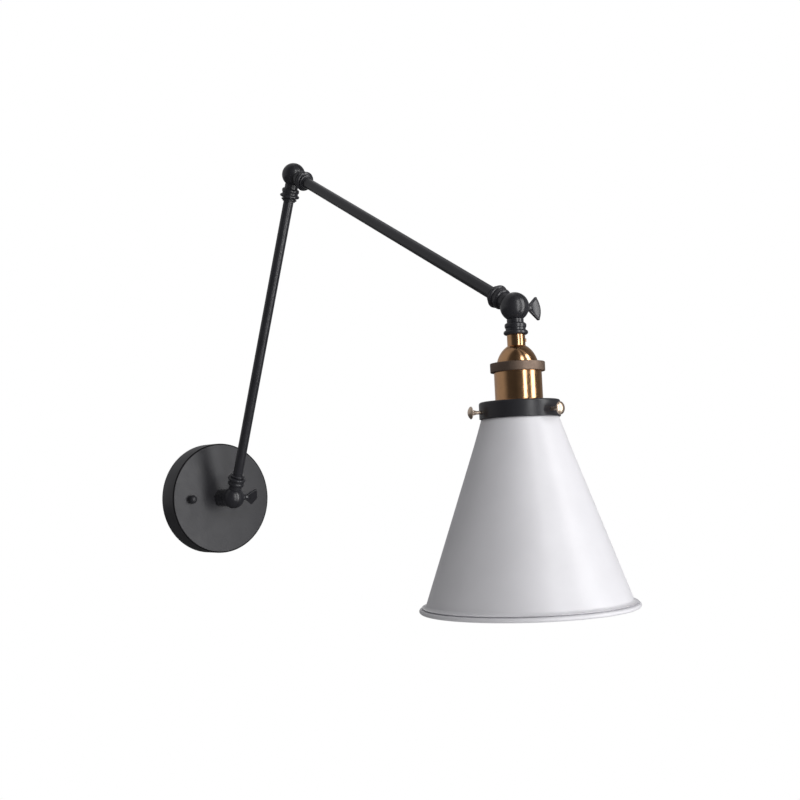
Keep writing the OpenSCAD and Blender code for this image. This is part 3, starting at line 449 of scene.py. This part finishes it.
def replace(name, outline, place, body, material, steps=96, sharp=38.0):
    """Turns an outline, paints it and lets it stand for the node of the same name."""
    o = turned(name + "_detailed", outline, place, body, steps, sharp)
    paint(o, material)
    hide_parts(name)


# Canopy: a pressed cover with a rounded front edge and an open back
canopy_inside = CANOPY_DEPTH - CANOPY_WALL
replace("canopy", fillet([
    (CANOPY_R - CANOPY_WALL, 0, 0.3), (CANOPY_R, 0, 0.3), (CANOPY_R, CANOPY_DEPTH, CANOPY_EDGE_R),
    (THREAD_HOLE_R, CANOPY_DEPTH, 0.2), (THREAD_HOLE_R, canopy_inside, 0.2),
    (CANOPY_R - CANOPY_WALL, canopy_inside, 0.9)], 8), OUT_OF_WALL, "wall_mount", CANOPY_BLACK, 160)

# Cap nuts: a straight skirt with a rounded foot, and a full dome
bm = bmesh.new()
for side in (-1, 1):
    rise = CAP_NUT_H - CAP_NUT_SKIRT
    dome = [(CAP_NUT_R * cos(a), CAP_NUT_SKIRT + rise * sin(a)) for a in range(6, 90, 6)]
    lathe(bm, [(STUD_HOLE_R, 0), (CAP_NUT_R - 0.35, 0), (CAP_NUT_R, 0.35), (CAP_NUT_R, CAP_NUT_SKIRT)] + dome
          + [(0.0, CAP_NUT_H), (0.0, CAP_NUT_BORE), (STUD_HOLE_R, CAP_NUT_BORE)], 64,
          move(side * STUD_X, 0, CANOPY_DEPTH))
cap_nuts = add_object("cap_nuts_detailed", bm, OUT_OF_WALL, "wall_mount")
paint(cap_nuts, COLLAR_BLACK)
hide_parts("cap_nuts")


# Lampholder: neck, dome, band and shell, down the head's axis
def dome_points(top_r, top, foot_r, foot, steps=18):
    """The middle part of a quarter circle, fitted between the neck and the foot."""
    first, last = 28, 76
    out = []
    for i in range(steps + 1):
        a = first + (last - first) * i / steps
        out.append((top_r + (foot_r - top_r) * (sin(a) - sin(first)) / (sin(last) - sin(first)),
                    top + (foot - top) * (cos(first) - cos(a)) / (cos(first) - cos(last))))
    return out


inner_dome = dome_points(BRASS_NECK_R - DOME_WALL, DOME + DOME_WALL, DOME_R - DOME_WALL, BAND)
replace("socket_cap", [
    (NIPPLE_HOLE_R, NECK), (BRASS_NECK_R - 0.25, NECK), (BRASS_NECK_R, NECK + 0.25), (BRASS_NECK_R, DOME - 0.5)]
    + dome_points(BRASS_NECK_R, DOME, DOME_R, BAND) + [(DOME_R, CORE), (DOME_R - DOME_WALL, CORE)]
    + list(reversed(inner_dome)) + [(NIPPLE_HOLE_R, DOME + DOME_WALL)],
    HEAD_FRAME, "head", BRASS, 128)
replace("socket_band", fillet([
    (DOME_R + FIT, BAND, 0.1), (BAND_R, BAND, 0.55), (BAND_R, SHELL, 0.55), (SHELL_R + FIT, SHELL, 0.1),
    (SHELL_R + FIT, CORE, 0.1), (DOME_R + FIT, CORE, 0.1)], 5), HEAD_FRAME, "head", BRONZE, 128)
lip = [(SHELL_R + LIP_OUT * sin(a), COLLAR - LIP_W / 2 * (1 + cos(a))) for a in range(15, 180, 15)]
replace("socket_shell", [
    (SHELL_R - SHELL_WALL, CORE), (SHELL_R, CORE), (SHELL_R, COLLAR - LIP_W)] + lip
    + [(SHELL_R, COLLAR), (SHELL_R, SHELL_STOP), (SHELL_R - SHELL_WALL, SHELL_STOP)],
    HEAD_FRAME, "head", BRASS, 128)

# Shade holder: spun collar with a soft top edge
replace("shade_holder", fillet([
    (SHELL_R + FIT, COLLAR, 0.1), (COLLAR_R, COLLAR, COLLAR_EDGE_R), (COLLAR_R, COLLAR_END, 0.35),
    (COLLAR_R - COLLAR_WALL, COLLAR_END, 0.35), (COLLAR_R - COLLAR_WALL, COLLAR + COLLAR_WALL, 1.3),
    (SHELL_R + FIT, COLLAR + COLLAR_WALL, 0.1)], 8), HEAD_FRAME, "head", COLLAR_BLACK, 128)

# Thumb screws: a thin dish, domed outwards, on a short cone
sphere = (DISH_R ** 2 + DISH_H ** 2) / (2 * DISH_H)
dish_centre = COLLAR_R + SHADE_SCREW_OUT - sphere
edge_angle = math.degrees(math.acos(DISH_R / sphere))
cone_angle = math.degrees(math.acos(DISH_CONE_R / (sphere - DISH_T)))
cone_end = dish_centre + (sphere - DISH_T) * sin(cone_angle)
screw_foot = SHADE_NECK_R + FIT
edge_mid = sphere - DISH_T / 2
screw_outline = ([(0, screw_foot), (SHADE_SCREW_R - 0.3, screw_foot), (SHADE_SCREW_R, screw_foot + 0.3),
                  (SHADE_SCREW_R, cone_end - DISH_CONE_LEN), (SHADE_SCREW_R + 0.25, cone_end - DISH_CONE_LEN + 1.2)]
                 + arc_points(0, dish_centre, sphere - DISH_T, cone_angle, edge_angle + 1, 8)
                 + arc_points(edge_mid * cos(edge_angle + 1.5), dish_centre + edge_mid * sin(edge_angle + 1.5),
                              DISH_T / 2, edge_angle - 140, edge_angle - 20, 5)
                 + arc_points(0, dish_centre, sphere, edge_angle + 2.5, 90, 14))
screw_outline[-1] = (0.0, screw_outline[-1][1])
for i in range(3):
    place = (HEAD_FRAME @ move(0, 0, COLLAR_END - SHADE_SCREW_RISE) @ turn_z(-SHADE_SCREW_TURN - 120 * i)
             @ turn_x(-90))
    replace("shade_screw_%d" % (i + 1), screw_outline, place, "shade_thumbscrew_%d" % (i + 1),
            BRIGHT_BRASS, 48, 60.0)

# Shade: neck inside the holder, cone, a flare above the rim and the rim's rolled bead
SHOULDER = COLLAR_END + GAP
NECK_TOP = SHOULDER - SHADE_NECK_H
FOOT, FOOT_R = RIM_END - FLARE_RISE, SHADE_R - BEAD_OUT - FLARE_OUT
BEAD, BEAD_CENTRE_R = RIM_END - BEAD_R, SHADE_R - BEAD_R


def side_points():
    """The shade's side from its top to the flare's edge: flatter under the holder, then straight."""
    ease = Vector((SHADE_TOP_R + (FOOT_R - SHADE_TOP_R) * SIDE_EASE_OUT,
                   SHOULDER + (FOOT - SHOULDER) * SIDE_EASE_DOWN))
    top, foot = Vector((SHADE_TOP_R, SHOULDER)), Vector((FOOT_R, FOOT))
    start = ease.lerp(foot, SIDE_EASE_BLEND)
    points = []
    for i in range(10):
        k = i / 10
        points.append(top.lerp(ease, k).lerp(ease.lerp(start, k), k ** 2))
    points += [start.lerp(foot, i / 24) for i in range(25)]
    return [(p.x, p.y) for p in points]


def flare_points(offset, last):
    """The flare under the straight side, moved in by the wall's offset, up to the given angle."""
    return [(FOOT_R - offset + FLARE_OUT * (1 - cos(a)), FOOT + offset + FLARE_H * sin(a))
            for a in range(12, last + 1, 6)]


outer = side_points()
inner = [(x - SHADE_WALL, y) for x, y in outer]
lip_r, neck_inner = SHADE_NECK_R + SHADE_LIP_OUT, SHADE_NECK_R - SHADE_WALL
ledge_r, ledge = FOOT_R + FLARE_OUT, FOOT + FLARE_H
crevice_r = BEAD_CENTRE_R - BEAD_R - 0.4
shade_outline = (
    [(neck_inner, NECK_TOP), (lip_r, NECK_TOP), (lip_r, NECK_TOP + 0.6), (SHADE_NECK_R, NECK_TOP + 1.2),
     (SHADE_NECK_R, SHOULDER - 0.8), (SHADE_NECK_R + 1.2, SHOULDER - 0.5), (SHADE_TOP_R - 0.5, SHOULDER - 0.35)]
    + outer + flare_points(0.0, 90)
    + [(ledge_r, ledge + 0.2), (crevice_r + 0.4, ledge + 0.7), (crevice_r, ledge + 1.2), (crevice_r, BEAD - 1.0)]
    + arc_points(BEAD_CENTRE_R, BEAD, BEAD_R, -158, 172, 28)
    + [(crevice_r - SHADE_WALL, BEAD - 0.6), (crevice_r - SHADE_WALL, ledge + 1.6)]
    + list(reversed(flare_points(SHADE_WALL, 54))) + list(reversed(inner))
    + [(SHADE_TOP_R - 1.1, SHOULDER + 0.5), (SHADE_TOP_R - 2.4, SHOULDER + 0.35), (neck_inner, SHOULDER)])
replace("shade", shade_outline, HEAD_FRAME, "head", WHITE, 192)

# Wire connectors: ribbed twist-on caps
bm = bmesh.new()
for side in (-1, 1):
    place = (move(CONNECTOR_MIDDLE + side * CONNECTOR_APART, -CONNECTOR_DEPTH, side * CONNECTOR_SHIFT)
             @ turn_y(side * 90))
    verts = lathe(bm, [
        (CONNECTOR_BORE_R, 0), (CONNECTOR_R, 0), (CONNECTOR_R, 1.2), (CONNECTOR_R - 0.45, 1.8),
        (CONNECTOR_TIP_R + 0.7, CONNECTOR_LEN - 0.8), (CONNECTOR_TIP_R, CONNECTOR_LEN), (0, CONNECTOR_LEN),
        (0, CONNECTOR_BORE), (CONNECTOR_BORE_R, CONNECTOR_BORE)], 96)
    for v in verts:
        if v.co.z > 1.7 and math.hypot(v.co.x, v.co.y) > 3:
            wave = 1 + RIB_SHARE * math.cos(CONNECTOR_RIBS * math.atan2(v.co.y, v.co.x))
            v.co.x, v.co.y = v.co.x * wave, v.co.y * wave
    bmesh.ops.transform(bm, matrix=place, verts=verts)
connectors = add_object("wire_connectors_detailed", bm, Matrix.Identity(4), "wall_mount")
paint(connectors, CONNECTOR)
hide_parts("wire_connectors")

# Bulb: clear glass, a threaded cap and upright filament rods
CLEAR, t, s = new_material("clear_glass")
s.inputs["Base Color"].default_value = (0.97, 0.97, 0.96, 1)
s.inputs["Transmission Weight"].default_value = 1.0
s.inputs["IOR"].default_value = 1.46
c = object_place(t)
t.links.new(ramp(t, noise_node(t, c, 60.0, 3.0), 0.3, 0.7, 0.015, 0.05), s.inputs["Roughness"])
bump(t, s, [(noise_node(t, c, 25.0, 2.0), 0.05, 0.0005)])
FILAMENT = coated("filament_amber", (0.80, 0.50, 0.12), (0.90, 0.62, 0.20), (0.45, 0.6), 2500.0, 0.00003)
GLASS_FOOT = BULB_CAP_END - 6.1
CAP_FLOOR, CAP_INNER_R = BULB_TIP + 5.7, BULB_CAP_R - 0.5


def bulb_points(inset, steps=24):
    """The glass from its foot inside the cap to its lower end, moved in by the wall's inset."""
    swell = (BULB_R - BULB_NECK_R) / 2
    points = [(BULB_NECK_R - inset, GLASS_FOOT), (BULB_NECK_R - inset, BULB_CAP_END)]
    for i in range(1, steps + 1):
        points.append((BULB_NECK_R + swell * (1 - cos(180 * i / steps)) - inset,
                       BULB_CAP_END + (BULB_MIDDLE - BULB_CAP_END) * i / steps))
    for a in range(5, 90, 5):
        points.append(((BULB_R - inset) * cos(a), BULB_MIDDLE + (BULB_R - inset) * sin(a)))
    return points + [(0.0, BULB_MIDDLE + BULB_R - inset)]


replace("bulb_glass", bulb_points(0) + list(reversed(bulb_points(GLASS_WALL))), HEAD_FRAME, "head",
        CLEAR, 96)
thread = []
for i in range(THREAD_TURNS):
    z = BULB_TIP + THREAD_START + i * THREAD_PITCH
    thread += [(BULB_CAP_R - depth, z + THREAD_PITCH * k / 4) for k, depth in enumerate((0.0, 0.25, 0.75, 0.25))]
contact = [(0, 0), (2.6, 0), (4.2, 0.5), (4.33, 2), (9.5, 3.4), (BULB_CAP_R, 5.2)]
cap_shape = ([(x, BULB_TIP + y) for x, y in contact] + thread
             + [(BULB_CAP_R, BULB_CAP_END - 0.2), (BULB_CAP_R - 0.2, BULB_CAP_END), (CAP_INNER_R, BULB_CAP_END),
                (CAP_INNER_R, CAP_FLOOR), (0, CAP_FLOOR)])
replace("bulb_cap", cap_shape, HEAD_FRAME, "head", ALUMINIUM, 96)


def rod(bm, a, b, r, steps=12):
    """A rod with rounded ends from a to b."""
    a, b = Vector(a), Vector(b)
    length = (b - a).length
    end = [(r * cos(q), length - r + r * sin(q)) for q in (0, 30, 60)]
    foot = [(r * cos(q), r - r * sin(q)) for q in (60, 30, 0)]
    turn = (b - a).to_track_quat("Z", "Y").to_matrix().to_4x4()
    lathe(bm, [(0, 0)] + foot + end + [(0, length)], steps, Matrix.Translation(a) @ turn)


# The filament: a glass mount, a stem and four upright rods on thin supports
bm = bmesh.new()
lathe(bm, fillet([(0, CAP_FLOOR), (MOUNT_R, CAP_FLOOR), (MOUNT_R, BULB_CAP_END), (2.2, BULB_CAP_END + 3.6, 0.6),
                  (0, BULB_CAP_END + MOUNT_R)]), 32)
rod(bm, (0, 0, BULB_CAP_END + 2), (0, 0, BULB_MIDDLE + 10), 0.9)
for i in range(1, 5):
    x, y = FILAMENT_OUT * cos(90 * i), FILAMENT_OUT * sin(90 * i)
    rod(bm, (0, 0, BULB_MIDDLE - 10), (x, y, BULB_MIDDLE - 10), SUPPORT_R)
    rod(bm, (x, y, BULB_MIDDLE - 11), (x, y, BULB_MIDDLE + 21), FILAMENT_R)
    rod(bm, (0, 0, BULB_MIDDLE + 9.5), (x, y, BULB_MIDDLE + 20), SUPPORT_R)
filament = add_object("bulb_filament_detailed", bm, HEAD_FRAME, "head")
paint(filament, FILAMENT)
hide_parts("bulb_filament")

# Camera, at the photograph's viewing angle
SENSOR, FRAME_PX = 36.0, 800.0
azimuth, elevation, roll = (math.radians(v) for v in (-39.36, -3.88, -2.46))
target, distance, focal = Vector((-0.47, -349.63, 85.03)) * MM, 1064.67 * MM, 1160.4
back = Vector((math.sin(azimuth) * math.cos(elevation), -math.cos(azimuth) * math.cos(elevation),
               math.sin(elevation)))
right = Vector((math.cos(azimuth), math.sin(azimuth), 0.0))
up = back.cross(right)
x_axis = right * math.cos(roll) + up * math.sin(roll)
y_axis = up * math.cos(roll) - right * math.sin(roll)
camera_data = bpy.data.cameras.new("camera")
camera = bpy.data.objects.new("camera", camera_data)
scene.collection.objects.link(camera)
camera.matrix_world = Matrix.Translation(target + back * distance) @ Matrix((
    (x_axis.x, y_axis.x, back.x, 0.0), (x_axis.y, y_axis.y, back.y, 0.0),
    (x_axis.z, y_axis.z, back.z, 0.0), (0.0, 0.0, 0.0, 1.0)))
camera_data.sensor_width = SENSOR
camera_data.lens = focal * SENSOR / FRAME_PX
camera_data.clip_start = 0.01
camera_data.clip_end = 100.0
scene.camera = camera


# Studio: two tall softboxes round the lamp's head, in metres
PANEL_REACH, PANEL_LEVEL, PANEL_TALL, PANEL_AIM = 1.5, 0.18, 2.6, 0.02
front = Vector((back.x, back.y, 0.0)).normalized()


def panel(name, direction, width, power):
    """A softbox, turned from the camera's side to its right by an angle in degrees."""
    centre = Vector((HEAD.x * MM, HEAD.y * MM, PANEL_AIM))
    way = front * cos(direction) + right * sin(direction)
    data = bpy.data.lights.new(name, "AREA")
    data.shape = "RECTANGLE"
    data.size, data.size_y = width, PANEL_TALL
    data.energy = power
    o = bpy.data.objects.new(name, data)
    scene.collection.objects.link(o)
    o.location = centre + way * PANEL_REACH + Vector((0, 0, PANEL_LEVEL - PANEL_AIM))
    o.rotation_euler = (centre - o.location).to_track_quat("-Z", "Y").to_euler()
    o.visible_camera = False


panel("softbox_front", 27.0, 0.34, 12.6)
panel("softbox_right", 69.0, 0.50, 18.2)

scene.view_settings.view_transform = "Standard"
world = bpy.data.worlds.new("studio")
scene.world = world
world.use_nodes = True
t = world.node_tree
t.nodes.clear()
out = t.nodes.new("ShaderNodeOutputWorld")
path = t.nodes.new("ShaderNodeLightPath")


def light(tree, colour, strength):
    n = tree.nodes.new("ShaderNodeBackground")
    n.inputs["Color"].default_value = (*colour, 1)
    n.inputs["Strength"].default_value = strength
    return n


ambient = light(t, (1.0, 1.0, 1.0), 0.27)
white = light(t, (1.0, 1.0, 1.0), 1.0)
# What metal and gloss show, as (degrees to the right of the camera's side, level): a grey wall on the left, a
# dark room with two bright panels in front, a dim wall on the right and the pale backdrop behind
STUDIO_LEVELS = [
    (-180, 0.95), (-172, 0.36), (-82, 0.33), (-56, 0.06), (-16, 0.045), (2, 0.075), (16, 0.07), (22, 0.42), (32, 0.42),
    (38, 0.06), (56, 0.06), (62, 0.36), (76, 0.36), (82, 0.07), (110, 0.09), (150, 0.20), (174, 0.36), (180, 0.95)]
coordinates = t.nodes.new("ShaderNodeTexCoord")


def toward(direction):
    """How far a ray of the world points along a direction."""
    n = t.nodes.new("ShaderNodeVectorMath")
    n.operation = "DOT_PRODUCT"
    n.inputs[1].default_value = tuple(direction)
    t.links.new(coordinates.outputs["Generated"], n.inputs[0])
    return n.outputs["Value"]


turn = ramp(t, math_node(t, "ARCTAN2", toward(right), toward(front)), -math.pi, math.pi, 0.0, 1.0)
studio = t.nodes.new("ShaderNodeBackground")
shades = t.nodes.new("ShaderNodeValToRGB")
elements = shades.color_ramp.elements
for i, (degrees, level) in enumerate(STUDIO_LEVELS):
    at = (degrees + 180) / 360
    if i < 2:
        elements[i].position = at
        element = elements[i]
    else:
        element = elements.new(at)
    element.color = (level, level, level * 1.02, 1)
t.links.new(turn, shades.inputs["Fac"])
t.links.new(shades.outputs["Color"], studio.inputs["Color"])
mirror = math_node(t, "MAXIMUM", path.outputs["Is Glossy Ray"], path.outputs["Is Transmission Ray"])
mix_a = t.nodes.new("ShaderNodeMixShader")
t.links.new(mirror, mix_a.inputs[0])
t.links.new(ambient.outputs[0], mix_a.inputs[1])
t.links.new(studio.outputs[0], mix_a.inputs[2])
mix_b = t.nodes.new("ShaderNodeMixShader")
t.links.new(path.outputs["Is Camera Ray"], mix_b.inputs[0])
t.links.new(mix_a.outputs[0], mix_b.inputs[1])
t.links.new(white.outputs[0], mix_b.inputs[2])
t.links.new(mix_b.outputs[0], out.inputs[0])

# Pale floor, well under every pose of the arms: white to the camera, dim in what gloss shows of it
FLOOR_HALF, FLOOR_LEVEL, FLOOR_GLOSS_LEVEL = 14.0, -1.15, 0.06
WHITE_FROM, WHITE_TO, WHITE_SHARE_NEAR = 0.6, 2.6, 0.72
floor_mesh = bpy.data.meshes.new("floor")
bm = bmesh.new()
bmesh.ops.create_grid(bm, x_segments=8, y_segments=8, size=FLOOR_HALF)
bm.to_mesh(floor_mesh)
bm.free()
floor = bpy.data.objects.new("floor", floor_mesh)
scene.collection.objects.link(floor)
floor.location = (0.0, -0.3, FLOOR_LEVEL)
m, ft, fs = new_material("pale_floor")
fs.inputs["Base Color"].default_value = (0.82, 0.82, 0.82, 1)
fs.inputs["Roughness"].default_value = 0.9
fs.inputs["Specular IOR Level"].default_value = 0.1
white_glow, dark_glow = ft.nodes.new("ShaderNodeEmission"), ft.nodes.new("ShaderNodeEmission")
white_glow.inputs["Strength"].default_value = 1.0
dark_glow.inputs["Strength"].default_value = FLOOR_GLOSS_LEVEL
floor_path = ft.nodes.new("ShaderNodeLightPath")
seen = math_node(ft, "MAXIMUM", floor_path.outputs["Is Camera Ray"], floor_path.outputs["Is Transmission Ray"])
length = ft.nodes.new("ShaderNodeVectorMath")
length.operation = "LENGTH"
ft.links.new(object_place(ft), length.inputs[0])
# Nearer than WHITE_FROM some of the floor's own shading stays, so that the lamp's shadow shows
amount = ramp(ft, length.outputs["Value"], WHITE_FROM, WHITE_TO, WHITE_SHARE_NEAR, 1.0)
shader = fs.outputs[0]
for factor, glow in ((math_node(ft, "MULTIPLY", seen, amount), white_glow),
                     (floor_path.outputs["Is Glossy Ray"], dark_glow)):
    floor_mix = ft.nodes.new("ShaderNodeMixShader")
    ft.links.new(factor, floor_mix.inputs[0])
    ft.links.new(shader, floor_mix.inputs[1])
    ft.links.new(glow.outputs[0], floor_mix.inputs[2])
    shader = floor_mix.outputs[0]
ft.links.new(shader, [n for n in ft.nodes if n.type == "OUTPUT_MATERIAL"][0].inputs[0])
floor_mesh.materials.append(m)

bpy.context.view_layer.update()
